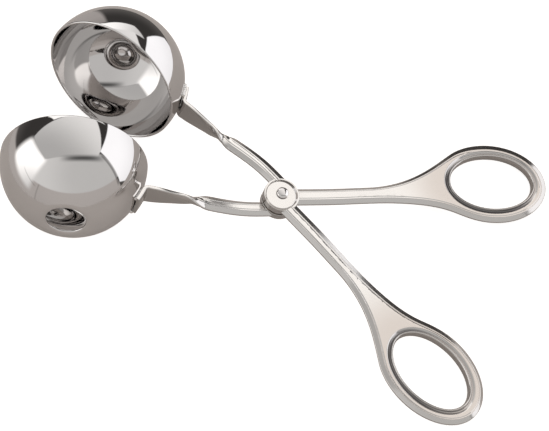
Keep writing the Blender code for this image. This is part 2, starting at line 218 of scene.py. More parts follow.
# Panels of the tent, later ones over earlier ones: corners in degrees of azimuth from +Y and elevation,
# softness of the edges, tint, then where the bright end and the dark end are, each with its brightness
PANELS = {
    "table_front": (((-150, 14), (92, 14), (92, -60), (-150, -60)),
                    0.03, WARM, (150, 0), 0.56, (150, -60), 0.5),
    "table_left": (((-150, 10), (-120, 4), (-91, -5), (-64, -16), (-60, -60), (-150, -60)),
                   0.1, WARM, (-120, 0), 0.56, (-120, -60), 0.5),
    "back": (((-46, 24), (-28, 22), (-30, -60), (-50, -60)),
             0.08, WARM, (-25, 0), 0.48, (-25, 24), 0.4),
    "front": (((-131, 40), (82, 46.5), (87, 5), (-134, 4)),
              0.05, NEUTRAL, (-136, 22), 0.85, (150, 40), 0.68),
    "left": (((-134, 42), (-140, 12), (-138, -12), (-94, -7), (-87, 24)),
             0.18, NEUTRAL, (-110, 18), 1.75, (-141, -8), 0.9),
    "back_top": (((-52, 37), (24, 30), (2, 21), (-52, 23)),
                 0.03, NEUTRAL, (-30, 30), 1.5, (20, 26), 0.8),
    "right": (((22, 23), (78, 50), (88, 16), (91, -3), (62, -26), (20, -12)),
              0.03, COOL, (60, 20), 1.45, (60, -26), 1.2),
    "ceiling": (((-131, 41), (89, 47.5), (76, 49.5), (25, 26), (-86, 26)),
                0.03, NEUTRAL, (24, 34), 1.08, (-160, 62), 0.58),
}
# Dark seams of the tent: the two ends each runs between, half width, softness, and how dark it gets
SEAMS = {
    "ceiling_front": ((92, 46), (-170, 64), 0.005, 0.12, 0.85),
    "crease": ((-119, 4), (-145, 0), 0.003, 0.012, 0.45),
    "front_right": ((84, 47), (94, -4), 0.012, 0.03, 0.5),
}

HALF_WIDTH = ARM_WIDTH / 2
HALF_SHANK = SHANK_WIDTH / 2
HALF_THICKNESS = ARM_THICKNESS / 2
HALF_EDGE = ARM_EDGE / 2
LEVEL = WASHER_THICKNESS / 2 + GAP + BEARING_RISE + HALF_THICKNESS
TAB_RADIUS = CUP_RADIUS + GAP + STRIP_THICKNESS / 2
HALF_CLOSED = math.asin((CUP_DEEPER + RIM_GAP) / CUP_REACH)
BOSS_TOP = LEVEL + HALF_THICKNESS + BOSS_RISE
PAD_TOP = LEVEL + HALF_THICKNESS - PAD_DROP
CUP_MIDDLE = Vector((-CUP_REACH, 0.0))


def plane_matrix():
    """The tongs' own plane, from the frame's hinge: Z along the hinge, X towards the finger loops."""
    joint = frame["joints"][0]
    z = Vector(joint["axis"]).normalized()
    y = Vector((0.0, 1.0, 0.0))
    x = y.cross(z).normalized()
    turn = Matrix((x, z.cross(x), z)).transposed()
    return Matrix.Translation(joint["pos_m"]) @ turn.to_4x4()


PLANE = plane_matrix()
ARM_PLACES = {
    "upper": PLANE @ Matrix.Rotation(-HALF_OPENING, 4, 'Z'),
    "lower": PLANE @ Matrix.Rotation(HALF_OPENING, 4, 'Z') @ Matrix.Rotation(math.pi, 4, 'X'),
}
CUP_PLACE = (Matrix.Translation((-CUP_REACH, 0.0, 0.0)) @ Matrix.Rotation(HALF_CLOSED, 4, 'Z')
             @ Matrix.Rotation(math.pi / 2 - CUP_TILT, 4, 'X'))


# Small geometry helpers
def smooth_step(value, low, high):
    share = min(max((value - low) / (high - low), 0.0), 1.0)
    return share * share * (3.0 - 2.0 * share)


def bezier(p0, p1, p2, p3, t):
    s = 1.0 - t
    return p0 * s ** 3 + p1 * 3 * s * s * t + p2 * 3 * s * t * t + p3 * t ** 3


def fillet(before, corner, after, radius):
    """Points of an arc that rounds a corner of an outline."""
    a = (before - corner).normalized()
    b = (after - corner).normalized()
    half = a.angle(b) / 2
    reach = radius / math.tan(half)
    middle = corner + (a + b).normalized() * (radius / math.sin(half))
    start = corner + a * reach - middle
    end = corner + b * reach - middle
    sweep = start.angle_signed(end)
    return [middle + Matrix.Rotation(-sweep * i / CORNER_STEPS, 2) @ start for i in range(CORNER_STEPS + 1)]


def rounded(outline, radii):
    """An open outline with its inner corners rounded; a radius of zero keeps the corner."""
    points = [outline[0]]
    for i in range(1, len(outline) - 1):
        if radii[i - 1] == 0.0:
            points.append(outline[i])
        else:
            points += fillet(outline[i - 1], outline[i], outline[i + 1], radii[i - 1])
    points.append(outline[-1])
    return points


def bridge(bm, first, second, closed=True):
    """Faces between two rings or lines of vertices; a ring of one vertex is a pole."""
    count = max(len(first), len(second))
    for i in range(count if closed else count - 1):
        j = (i + 1) % count
        if len(first) == 1:
            bm.faces.new((first[0], second[i], second[j]))
        elif len(second) == 1:
            bm.faces.new((first[i], second[0], first[j]))
        else:
            bm.faces.new((first[i], second[i], second[j], first[j]))


def turned(name, profile, sides, closed):
    """Solid turned round Z from (radius, height) points; a third value sets the ring off along Y."""
    bm = bmesh.new()
    rings = []
    for radius, height, *set_off in profile:
        centre = sum(set_off)
        if radius == 0.0:
            rings.append([bm.verts.new((0.0, centre, height))])
            continue
        ring = []
        for i in range(sides):
            angle = 2 * math.pi * i / sides
            ring.append(bm.verts.new((radius * math.cos(angle), centre + radius * math.sin(angle), height)))
        rings.append(ring)
    for first, second in zip(rings, rings[1:]):
        bridge(bm, first, second)
    if closed:
        bridge(bm, rings[-1], rings[0])
    return finish_mesh(name, bm)


def finish_mesh(name, bm):
    bmesh.ops.recalc_face_normals(bm, faces=bm.faces)
    mesh = bpy.data.meshes.new(name)
    bm.to_mesh(mesh)
    bm.free()
    obj = bpy.data.objects.new(name, mesh)
    bpy.context.scene.collection.objects.link(obj)
    return obj


def apply_modifiers(obj):
    depsgraph = bpy.context.evaluated_depsgraph_get()
    mesh = bpy.data.meshes.new_from_object(obj.evaluated_get(depsgraph))
    obj.modifiers.clear()
    obj.data = mesh


def shade(obj, kind):
    """Smooth shading that keeps the sharp edges and the flats."""
    obj.data.shade_smooth()
    obj.data.set_sharp_from_angle(angle=math.radians(SHARP_ANGLES[kind]))
    mod = obj.modifiers.new("weighted_normals", 'WEIGHTED_NORMAL')
    mod.keep_sharp = True
    mod.weight = NORMAL_WEIGHT


def place(obj, matrix, body, material, slot, *nodes):
    """Puts a piece in its place on its body, over the nodes that it replaces."""
    obj.data.transform(matrix)
    obj.data.materials.clear()
    obj.data.materials.append(material)
    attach(obj, body)
    if nodes:
        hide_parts(*nodes)


# Cups
def cup_profile(bands=56, cap_steps=8):
    """Closed wall of the half ball: opening towards +Z, vent and its sunk lip at -Z, both edges rounded."""
    half_wall = CUP_WALL / 2
    vent_angle = math.asin(VENT_RADIUS / CUP_RADIUS)
    lip_angle = vent_angle + VENT_LIP_WIDTH / CUP_RADIUS
    first = vent_angle + half_wall / CUP_RADIUS
    last = math.acos(-CUP_DEEPER / CUP_RADIUS) - half_wall / CUP_RADIUS

    def sink(angle):
        return VENT_LIP_DEPTH * max((lip_angle - angle) / (lip_angle - vent_angle), 0.0) ** 2

    def middle(angle):
        radius = CUP_RADIUS - half_wall - sink(angle)
        return Vector((radius * math.sin(angle), -radius * math.cos(angle)))

    def normal(angle):
        step = 0.001
        along = (middle(angle + step) - middle(angle - step)).normalized()
        return Vector((along.y, -along.x))

    outer = []
    inner = []
    for i in range(bands + 1):
        angle = first + (last - first) * (i / bands) ** CUP_RING_POWER
        outer.append(middle(angle) + normal(angle) * half_wall)
        inner.append(middle(angle) - normal(angle) * half_wall)

    def cap(angle, side):
        points = []
        for i in range(1, cap_steps):
            turn = math.pi * i / cap_steps
            points.append(middle(angle) + Matrix.Rotation(turn * side, 2) @ (normal(angle) * half_wall))
        return points

    return outer + cap(last, 1.0) + inner[::-1] + cap(first, -1.0)[::-1]


def make_cup(side):
    cup = turned(side + "_cup_shell", cup_profile(), CUP_SIDES, True)
    shade(cup, "cup")
    return cup


# Arms
def front_plan():
    """Middle line of the front bar, as a curve from the pivot to the strip's bend, and the bend's middle."""
    bend_y = FRONT_SIDE + BEND_RADIUS
    bend_x = -CUP_REACH + math.sqrt((TAB_RADIUS + BEND_RADIUS) ** 2 - bend_y ** 2)
    start = Vector((0.0, FRONT_SHIFT))
    lead = Vector((-FRONT_LEAD_X, FRONT_LEAD_Y))
    run = Vector((-FRONT_RUN, FRONT_SIDE))
    end = Vector((bend_x, FRONT_SIDE))
    return (start, lead, run, end), Vector((bend_x, bend_y))


def front_point(t, step=0.001):
    """Point of the front's middle line, and its heading."""
    points, _ = front_plan()
    here = bezier(*points, t)
    ahead = bezier(*points, min(t + step, 1.0)) - bezier(*points, max(t - step, 0.0))
    return here, math.atan2(ahead.y, ahead.x)


def front_share_at(distance, halvings=40):
    """How far along the front's middle line a distance from the pivot is reached."""
    low, high = 0.0, 1.0
    for _ in range(halvings):
        middle = (low + high) / 2
        if -front_point(middle)[0].x < distance:
            low = middle
        else:
            high = middle
    return low


def arm_height(x):
    """Height of the arm's middle plane: set down a little at the loop, and down to the strip at the front."""
    if x > 0.0:
        return LEVEL - LOOP_SET * smooth_step(x, LOOP_SET_START, LOOP_SET_END)
    return LEVEL - (LEVEL + STRIP_DROP) * smooth_step(-x, PAD_RADIUS + HALF_WIDTH, TWIST_END)


def handle_edges(shank_steps=28, skipped=4, flare_steps=28, around=110):
    """Outer edge of shank, web and loop: out on the far side and back on the near side."""
    centre = Vector((LOOP_REACH, -LOOP_DROP))
    half_length = LOOP_HALF_LENGTH + LOOP_BAND_END
    half_width = LOOP_HALF_WIDTH + LOOP_BAND_SIDE

    def loop_point(angle):
        return centre + Vector((half_length * math.cos(angle), half_width * math.sin(angle)))

    def loop_tangent(angle):
        return Vector((half_length * math.sin(angle), -half_width * math.cos(angle))).normalized()

    far_side = HALF_SHANK - SHANK_SHIFT
    near_side = -HALF_SHANK - SHANK_SHIFT
    points = [Vector((SHANK_LENGTH * i / shank_steps, far_side)) for i in range(skipped, shank_steps)]
    start = Vector((SHANK_LENGTH, far_side))
    end = loop_point(FAR_FLARE_ANGLE)
    lead = start + Vector((FAR_FLARE_START, 0.0))
    tail = end - loop_tangent(FAR_FLARE_ANGLE) * FAR_FLARE_END
    points += [bezier(start, lead, tail, end, i / flare_steps) for i in range(flare_steps)]
    for i in range(around):
        points.append(loop_point(FAR_FLARE_ANGLE + (NEAR_FLARE_ANGLE - FAR_FLARE_ANGLE) * i / around))
    start = loop_point(NEAR_FLARE_ANGLE)
    end = Vector((SHANK_LENGTH, near_side))
    lead = start + loop_tangent(NEAR_FLARE_ANGLE) * NEAR_FLARE_END
    tail = end + Vector((NEAR_FLARE_START, 0.0))
    points += [bezier(start, lead, tail, end, i / flare_steps) for i in range(flare_steps)]
    for i in range(shank_steps - skipped + 1):
        points.append(Vector((SHANK_LENGTH * (1 - i / shank_steps), near_side)))
    turn = Matrix.Rotation(HANDLE_ANGLE, 2)
    return [turn @ p for p in points]


def front_edges(side, skipped):
    """Edge of the front bar on one side, from the twist towards the pivot, less the points skipped there."""
    points = []
    first = front_share_at(TWIST_START)
    for i in range(FRONT_STEPS + 1 - skipped):
        here, heading = front_point(first * (1 - i / FRONT_STEPS))
        lateral = Vector((math.sin(heading), -math.cos(heading)))
        points.append(here + lateral * HALF_WIDTH * side)
    return points


def bevel_shares(count, stops):
    """Share of the bevel's named width at each point of the edge."""
    shares = []
    for i in range(count):
        along = i / (count - 1)
        share = stops[0][1]
        for (here, _), (there, wanted) in zip(stops, stops[1:]):
            share += (wanted - share) * smooth_step(along, here, there)
        after_start = smooth_step(along, 0.0, BEVEL_END_SHARE)
        before_end = 1.0 - smooth_step(along, 1.0 - BEVEL_END_SHARE, 1.0)
        shares.append(1.0 + (share - 1.0) * (after_start * before_end))
    return shares


def inset(points, distance, shares, sharpest=0.5):
    """An open line moved inwards by a distance, times each point's share."""
    moved = []
    last = len(points) - 1
    for i, p in enumerate(points):
        back = (p - points[i - 1]).normalized() if i > 0 else None
        ahead = (points[i + 1] - p).normalized() if i < last else None
        back = back or ahead
        ahead = ahead or back
        normal = (Vector((back.y, -back.x)) + Vector((ahead.y, -ahead.x))).normalized()
        stretch = max(normal.dot(Vector((ahead.y, -ahead.x))), sharpest)
        moved.append(p + normal * distance * shares[i] / stretch)
    return moved


def side_profile():
    """Rounded edge of the arm's section as (inset, height), from mid-height up to the flat."""
    crown = HALF_THICKNESS - LINE_DEPTH / 2
    outline = [Vector((0.0, 0.0)), Vector((0.0, HALF_EDGE)), Vector((ARM_BEVEL - LINE_WIDTH, crown)),
               Vector((ARM_BEVEL - LINE_WIDTH + CROWN_ROUND, crown))]
    points = rounded(outline, (EDGE_ROUND, CROWN_ROUND))[:-1]
    slope = CORNER_STEPS + 2
    middle = [points[slope - 1].lerp(points[slope], share) for share in (1 / 3, 2 / 3)]
    line = [Vector((points[-1].x + LINE_WIDTH, HALF_THICKNESS - LINE_DEPTH)),
            Vector((points[-1].x + 2 * LINE_WIDTH, HALF_THICKNESS))]
    return points[:slope] + middle + points[slope:] + line


def strip_side(count):
    """Rounded edge of the strip with as many points as the arm's."""
    half = STRIP_THICKNESS / 2
    outline = [Vector((0.0, 0.0)), Vector((0.0, half)), Vector((half, half))]
    points = rounded(outline, (EDGE_ROUND,))[:-1]
    last = points[-1]
    spare = count - len(points)
    for i in range(spare):
        points.append(last + Vector(((ARM_BEVEL - last.x) * (i + 1) / spare, 0.0)))
    return points


def full_section(side, half_width, flat_count=3):
    """Closed section from the edge's points: over the top from -X to +X, then back below."""
    flat = half_width - side[-1].x
    top = [Vector((-half_width + p.x, p.y)) for p in side]
    for i in range(1, flat_count + 1):
        top.append(Vector((-flat + 2 * flat * i / (flat_count + 1), side[-1].y)))
    top += [Vector((half_width - p.x, p.y)) for p in reversed(side)]
    return top + [Vector((p.x, -p.y)) for p in reversed(top[1:-1])]


def tab_start():
    """Where the tab begins, as an angle round the cup's middle."""
    _, bend = front_plan()
    to_bend = bend - CUP_MIDDLE
    return math.atan2(to_bend.y, to_bend.x)


def strip_stations(run_steps=40, bend_steps=12, tab_steps=8):
    """Places, headings and shares of twist and wrap along the strip, and its reach from the pivot."""
    stations = []
    first = front_share_at(TWIST_START)
    for i in range(run_steps + 1):
        here, heading = front_point(first + (1.0 - first) * i / run_steps)
        stations.append((here, heading, smooth_step(-here.x, TWIST_START, TWIST_END), -here.x, 0.0))
    reach = stations[-1][3]
    _, bend = front_plan()
    wall_angle = tab_start()
    start_turn = -math.pi / 2
    end_turn = wall_angle - math.pi
    for i in range(1, bend_steps + 1):
        turn = start_turn + (end_turn - start_turn) * i / bend_steps
        here = bend + Vector((math.cos(turn), math.sin(turn))) * BEND_RADIUS
        stations.append((here, turn - math.pi / 2, 1.0, reach, i / bend_steps))
    for i in range(1, tab_steps + 1):
        angle = wall_angle + TAB_LENGTH / TAB_RADIUS * i / tab_steps
        here = CUP_MIDDLE + Vector((math.cos(angle), math.sin(angle))) * TAB_RADIUS
        stations.append((here, angle + math.pi / 2, 1.0, reach, 1.0))
    return stations, reach


def station_points(station, reach, bar_side, strip_edge):
    """The arm's section at a station: the bar's, grown into the strip's and wrapped round the cup."""
    here, heading, twist_share, distance, wrap_share = station
    lateral = Vector((math.sin(heading), -math.cos(heading), 0.0))
    up = Vector((0.0, 0.0, 1.0))
    turn = twist_share * math.pi / 2
    across = lateral * math.cos(turn) - up * math.sin(turn)
    normal = up * math.cos(turn) + lateral * math.sin(turn)
    grow_share = smooth_step(distance, TWIST_START, reach)
    height = ARM_WIDTH + (STRIP_HEIGHT - ARM_WIDTH) * grow_share
    bar = full_section(bar_side, HALF_WIDTH)
    strip = full_section(strip_edge, height / 2)
    level = arm_height(here.x)
    points = []
    for b, s in zip(bar, strip):
        p = b.lerp(s, grow_share)
        point = Vector((here.x, here.y, level)) + across * p.x + normal * p.y
        sag = TAB_RADIUS - math.sqrt(TAB_RADIUS ** 2 - point.z ** 2)
        point -= lateral * sag * wrap_share
        points.append(point)
    return points


def loop_ring(offset, sides=144):
    """Ring at an offset outside the finger opening."""
    centre = Vector((LOOP_REACH, -LOOP_DROP))
    turn = Matrix.Rotation(HANDLE_ANGLE, 2)
    points = []
    for i in range(sides):
        angle = 2 * math.pi * i / sides
        along = (LOOP_HALF_LENGTH + offset) * math.cos(angle)
        across = (LOOP_HALF_WIDTH + offset) * math.sin(angle)
        points.append(turn @ (centre + Vector((along, across))))
    return points


def bead_profile(steps=9):
    """Bead beside the finger opening and the groove round it, as (offset, height)."""
    crest = HALF_THICKNESS + BEAD_RISE
    valley = HALF_THICKNESS - GROOVE_DEPTH
    points = [Vector((0.0, 0.0)), Vector((0.0, HALF_EDGE))]
    for i in range(1, steps + 1):
        angle = math.pi / 2 * i / steps
        height = HALF_EDGE + (crest - HALF_EDGE) * math.sin(angle)
        points.append(Vector((BEAD_CREST * (1 - math.cos(angle)), height)))
    for first, last, high, low in ((BEAD_CREST, GROOVE_MIDDLE, crest, valley),
                                   (GROOVE_MIDDLE, GROOVE_END, valley, HALF_THICKNESS)):
        for i in range(1, steps + 1):
            height = high + (low - high) * smooth_step(i, 0, steps)
            points.append(Vector((first + (last - first) * i / steps, height)))
    return points


def inside(polygon, x, y):
    """Which of the points lie in a polygon; x and y are arrays."""
    result = np.zeros(len(x), bool)
    previous = polygon[-1]
    for corner in polygon:
        crosses = (corner.y > y) != (previous.y > y)
        rise = previous.y - corner.y
        edge_x = corner.x + (y - corner.y) * (previous.x - corner.x) / (rise if rise else 1.0)
        result ^= crosses & (x < edge_x)
        previous = corner
    return result


def raised(bm, points, rise):
    """Vertices at a rise over the arm's middle plane."""
    return [bm.verts.new((p.x, p.y, arm_height(p.x) + rise)) for p in points]


def flat_patch(bm, outline, hole, rise):
    """Fills the flat between an outline and a hole with evenly sized triangles."""
    rim = outline + hole
    coords = [Vector((v.co.x, v.co.y)) for v in rim]
    outline_2d = coords[:len(outline)]
    hole_2d = coords[len(outline):]
    edges = [(i, (i + 1) % len(outline)) for i in range(len(outline))]
    edges += [(len(outline) + i, len(outline) + (i + 1) % len(hole)) for i in range(len(hole))]
    low_x = min(p.x for p in coords)
    high_x = max(p.x for p in coords)
    low_y = min(p.y for p in coords)
    high_y = max(p.y for p in coords)
    rows = int((high_y - low_y) / FLAT_SPACING / TRIANGLE_RISE) + 1
    columns = int((high_x - low_x) / FLAT_SPACING) + 1
    row, column = np.meshgrid(np.arange(rows), np.arange(columns), indexing='ij')
    x = (low_x + (column + 0.5 * (row % 2)) * FLAT_SPACING).ravel()
    y = (low_y + row * FLAT_SPACING * TRIANGLE_RISE).ravel()
    keep = inside(outline_2d, x, y) & ~inside(hole_2d, x, y)
    x, y = x[keep], y[keep]
    rim_xy = np.array([(p.x, p.y) for p in coords])
    nearest = np.array([np.hypot(rim_xy[:, 0] - a, rim_xy[:, 1] - b).min() for a, b in zip(x, y)])
    clear = nearest > FLAT_SPACING * RIM_CLEARANCE_SHARE
    coords += [Vector((a, b)) for a, b in zip(x[clear], y[clear])]
    found, _, faces, origin, _, _ = geometry.delaunay_2d_cdt(coords, edges, [], 1, MERGE_DISTANCE)
    verts = []
    for p, source in zip(found, origin):
        if source and source[0] < len(rim):
            verts.append(rim[source[0]])
        else:
            verts += raised(bm, [p], rise)
    centres = [sum((found[i] for i in face), Vector((0.0, 0.0))) / len(face) for face in faces]
    cx = np.array([c.x for c in centres])
    cy = np.array([c.y for c in centres])
    for face, wanted in zip(faces, inside(outline_2d, cx, cy) & ~inside(hole_2d, cx, cy)):
        if wanted:
            bm.faces.new([verts[i] for i in face])


def make_arm_body(name):
    """Strip and tab as rings of points, then bevels, bead, groove and flats of the bar, web and loop."""
    bm = bmesh.new()
    side = side_profile()
    last = len(side) - 1
    strip_edge = strip_side(len(side))
    stations, reach = strip_stations()
    rings = [[bm.verts.new(p) for p in station_points(s, reach, side, strip_edge)] for s in stations]
    for first, second in zip(rings, rings[1:]):
        bridge(bm, first, second)
    bm.faces.new(rings[-1])

    # Bevels, as lines beside the arm's edge that end on the points of the strip's first ring
    edge = front_edges(1.0, 0) + handle_edges() + front_edges(-1.0, 2)[::-1]
    shares = {key: bevel_shares(len(edge), stops) for key, stops in BEVEL_SHARES.items()}
    start = rings[0]
    top_count = (len(start) + 2) // 2
    lines = {}
    for k, p in enumerate(side):
        for key, sign in (("top", 1.0), ("under", -1.0)):
            line = inset(edge, p.x, shares[key])[1:-1]
            if k == 0 and key == "under":
                lines[key, k] = lines["top", k]
                continue
            head = top_count - 1 - k if key == "top" else top_count - 1 + k
            foot = k if key == "top" else (len(start) - k) % len(start)
            lines[key, k] = [start[head]] + raised(bm, line, p.y * sign) + [start[foot]]
    for key in ("top", "under"):
        for k in range(last):
            bridge(bm, lines[key, k], lines[key, k + 1], closed=False)

    # Bead and groove, as rings round the finger opening, and the flats between them and the bevels
    inner_edge, *bead = bead_profile()
    inner_ring = raised(bm, loop_ring(inner_edge.x), inner_edge.y)
    for key, sign, close in (("top", 1.0, start[last + 1:top_count - 1 - last]),
                             ("under", -1.0, start[top_count + last:len(start) - last][::-1])):
        group = [inner_ring] + [raised(bm, loop_ring(p.x), p.y * sign) for p in bead]
        for first, second in zip(group, group[1:]):
            bridge(bm, first, second)
        flat_patch(bm, lines[key, last] + close, group[-1], HALF_THICKNESS * sign)
    return finish_mesh(name, bm)


def boss_profile():
    """Round pad as thick as the arm, and the boss that stands on it, a little off the pivot."""
    foot = LEVEL - HALF_THICKNESS - BEARING_RISE
    outline = [Vector((0.0, foot)), Vector((PAD_RADIUS, foot)), Vector((PAD_RADIUS, PAD_TOP)),
               Vector((BOSS_RADIUS, PAD_TOP)), Vector((BOSS_FACE_RADIUS, BOSS_TOP)), Vector((0.0, BOSS_TOP))]
    small = EDGE_ROUND / 2
    rings = []
    for p in rounded(outline, (small, small, 0.0, EDGE_ROUND)):
        set_off = 0.0
        if p.y >= PAD_TOP and p.x <= BOSS_RADIUS:
            set_off = -BOSS_SHIFT / 2 * (1 + (p.y - PAD_TOP) / (BOSS_TOP - PAD_TOP))
        rings.append((p.x, p.y, set_off))
    return rings


def cut(obj, tool, operation):
    mod = obj.modifiers.new(operation.lower(), 'BOOLEAN')
    mod.operation = operation
    mod.solver = 'EXACT'
    mod.object = tool


def make_arm(side):
    arm = make_arm_body(side + "_arm_forging")
    boss = turned(side + "_boss_form", boss_profile(), PIVOT_SIDES, False)
    radius = RIVET_RADIUS + RUNNING_FIT
    hole = [(0.0, -GAP), (radius, -GAP), (radius, BOSS_TOP + GAP), (0.0, BOSS_TOP + GAP)]
    bore = turned(side + "_bore_form", hole, BORE_SIDES, False)
    cut(arm, boss, 'UNION')
    cut(arm, bore, 'DIFFERENCE')
    apply_modifiers(arm)
    for tool in (boss, bore):
        bpy.data.objects.remove(tool, do_unlink=True)
    shade(arm, "arm")
    return arm


# Welds
def make_weld(side):
    """Two short beads of weld, along the upper and lower edge of the tab."""
    first = tab_start()
    bm = bmesh.new()
    for sign in (1.0, -1.0):
        height = (STRIP_HEIGHT / 2 - WELD_RADIUS / 4) * sign
        shell = math.sqrt((CUP_RADIUS + GAP / 2) ** 2 - height ** 2)
        for i in range(WELD_DROPS):
            angle = first + TAB_LENGTH / TAB_RADIUS * (WELD_START_SHARE + WELD_STEP_SHARE * i)
            size = WELD_RADIUS * (1.0 + WELD_SWING_SHARE * math.sin(WELD_SWING_TURN * i + sign))
            centre = Vector((CUP_MIDDLE.x + shell * math.cos(angle), shell * math.sin(angle), height))
            bmesh.ops.create_icosphere(bm, subdivisions=3, radius=size, matrix=Matrix.Translation(centre))
    weld = finish_mesh(side + "_weld", bm)
    mod = weld.modifiers.new("join", 'REMESH')
    mod.mode = 'VOXEL'
    mod.voxel_size = WELD_VOXEL
    apply_modifiers(weld)
    smooth = weld.modifiers.new("soften", 'SMOOTH')
    smooth.iterations = WELD_SOFTENING
    apply_modifiers(weld)
    shade(weld, "weld")
    return weld


# Rivet and washer
def make_rivet(steps=14):
    """Shank and two domed heads."""
    seat = BOSS_TOP + GAP
    crown = []
    for i in range(steps + 1):
        angle = math.pi / 2 * i / steps
        crown.append((RIVET_HEAD_RADIUS * math.cos(angle), seat + RIVET_HEAD_RISE * math.sin(angle)))
    crown[-1] = (0.0, seat + RIVET_HEAD_RISE)
    upper = [(RIVET_RADIUS, seat)] + crown
    rivet = turned("rivet_heads", [(r, -z) for r, z in reversed(upper)] + upper, PIVOT_SIDES, False)
    shade(rivet, "rivet")
    return rivet


def make_washer():
    half = WASHER_THICKNESS / 2
    bore = RIVET_RADIUS + RUNNING_FIT
    round_off = half / 2
    profile = [(bore, -half), (WASHER_RADIUS - round_off, -half), (WASHER_RADIUS, -half + round_off),
               (WASHER_RADIUS, half - round_off), (WASHER_RADIUS - round_off, half), (bore, half)]
    washer = turned("washer_disc", profile, PIVOT_SIDES, True)
    shade(washer, "washer")
    return washer


# Materials
class Nodes:
    """Short hand for building a node tree."""

    def __init__(self, tree):
        self.tree = tree

    def fill(self, node, inputs):
        """Links each input that is given a socket, and sets each one that is given a value."""
        for key, value in inputs.items():
            if isinstance(value, bpy.types.NodeSocket):
                self.tree.links.new(value, node.inputs[key])
            else:
                node.inputs[key].default_value = value

    def add(self, kind, inputs=None, **settings):
        node = self.tree.nodes.new(kind)
        for key, value in settings.items():
            setattr(node, key, value)
        self.fill(node, inputs or {})
        return node

    def value_math(self, operation, *inputs):
        return self.add('ShaderNodeMath', dict(enumerate(inputs)), operation=operation).outputs["Value"]

    def vector_math(self, operation, *inputs, output="Vector"):
        node = self.add('ShaderNodeVectorMath', dict(enumerate(inputs)), operation=operation)
        return node.outputs[output]

    def along(self, vector, axis):
        return self.vector_math('DOT_PRODUCT', vector, axis, output="Value")

    def scaled(self, vector, factor):
        node = self.add('ShaderNodeVectorMath', {0: vector, "Scale": factor}, operation='SCALE')
        return node.outputs["Vector"]

    def noise(self, vector, scale, detail, roughness=0.5):
        inputs = {"Vector": vector, "Scale": scale, "Detail": detail, "Roughness": roughness}
        return self.add('ShaderNodeTexNoise', inputs).outputs["Fac"]

    def ramp(self, value, low, high, first=0.0, last=1.0, shape='SMOOTHSTEP'):
        inputs = {"Value": value, "From Min": low, "From Max": high, "To Min": first, "To Max": last}
        return self.add('ShaderNodeMapRange', inputs, interpolation_type=shape).outputs["Result"]

    def spread(self, noise, low, high):
        """A noise's usual range, stretched between two values."""
        return self.ramp(noise, *NOISE_RANGE, low, high, 'LINEAR')

    def mixed(self, share, first, second, kind='RGBA'):
        return self.add('ShaderNodeMix', {"Factor": share, "A": first, "B": second},
                        data_type=kind).outputs["Result"]

    def mapped(self, **inputs):
        """The object's own coordinates in a space that is placed, turned and sized by the inputs."""
        inputs["Vector"] = self.add('ShaderNodeTexCoord').outputs["Object"]
        return self.add('ShaderNodeMapping', inputs, vector_type='TEXTURE').outputs["Vector"]

    def stretched(self, scale, turn=0.0):
        return self.mapped(Scale=[1.0 / s for s in scale], Rotation=(0.0, 0.0, turn))


def opaque(colour):
    return (*colour, 1.0)


def steel(kind, prefix="", grain_turn=0.0):
    """Stainless steel: the tint drifts with a noise, and fine marks run as the grain is stretched."""
    look = STEELS[kind]
    mat = bpy.data.materials.new(prefix + kind + "_steel")
    mat.use_nodes = True
    n = Nodes(mat.node_tree)
    drift = n.noise(n.stretched((1.0, 1.0, 1.0)), look["drift"], DRIFT_DETAIL)
    marks = n.noise(n.stretched(look["grain"], grain_turn), 1.0, MARK_DETAIL, MARK_ROUGHNESS)
    bump = n.add('ShaderNodeBump', {"Height": marks, "Strength": MARK_STRENGTH, "Distance": look["height"]})
    n.fill(mat.node_tree.nodes["Principled BSDF"], {
        "Metallic": 1.0,
        "Base Color": n.mixed(n.spread(drift, 0.0, 1.0), opaque(look["light"]), opaque(look["dark"])),
        "Roughness": n.spread(marks, look["smooth"], look["rough"]),
        "Normal": bump.outputs["Normal"],
    })
    return mat


def satin(side):
    """Satin steel of an arm, with its tones by place round the loop, painted shade by the way that a face
    looks, and painted shade down in the loop's groove.
    """
    mat = steel("satin", side + "_", HALF_OPENING if side == "lower" else -HALF_OPENING)
    n = Nodes(mat.node_tree)
    shader = mat.node_tree.nodes["Principled BSDF"]
    colour = shader.inputs["Base Color"].links[0].from_socket
    loop = (ARM_PLACES[side] @ Matrix.Rotation(HANDLE_ANGLE, 4, 'Z')
            @ Matrix.Translation((LOOP_REACH, -LOOP_DROP, 0.0)))
    half_sizes = (LOOP_HALF_LENGTH + GROOVE_MIDDLE, LOOP_HALF_WIDTH + GROOVE_MIDDLE, 1.0)
    place_in_loop = n.mapped(Location=loop.translation, Rotation=loop.to_euler(), Scale=half_sizes)
    flat = n.vector_math('MULTIPLY', place_in_loop, (1.0, 1.0, 0.0))
    radius = n.vector_math('LENGTH', flat, output="Value")
    from_groove = n.value_math('ABSOLUTE', n.value_math('SUBTRACT', radius, 1.0))
    colour = n.mixed(n.ramp(radius, *WEB_REACH_SHARES, 1.0, 0.0), colour, opaque(WEB_TONE))
    normal = n.add('ShaderNodeTexCoord').outputs["Normal"]
    facing = n.value_math('ABSOLUTE', n.add('ShaderNodeSeparateXYZ', {"Vector": normal}).outputs["Z"])
    # Painted shade: bevels and walls darker the more a face tilts away from straight up or down
    for full, gone, shade_tone, most in FACING_SHADE_TONES:
        colour = n.mixed(n.ramp(facing, full, gone, most, 0.0), colour, opaque(shade_tone))
    # Painted shade down in the loop's groove, stronger on one side of the loop
    groove_shade = n.ramp(from_groove, 0.0, GROOVE_SHADE_SPREAD_SHARES[side], 1.0, 0.0)
    groove_shade_fade = n.ramp(n.along(flat, GROOVE_SHADE_WAYS[side]), *GROOVE_SHADE_FADE)
    colour = n.mixed(n.value_math('MULTIPLY', groove_shade, groove_shade_fade), colour, opaque(GROOVE_SHADE_TONE))
    n.fill(shader, {"Base Color": colour})
    return mat


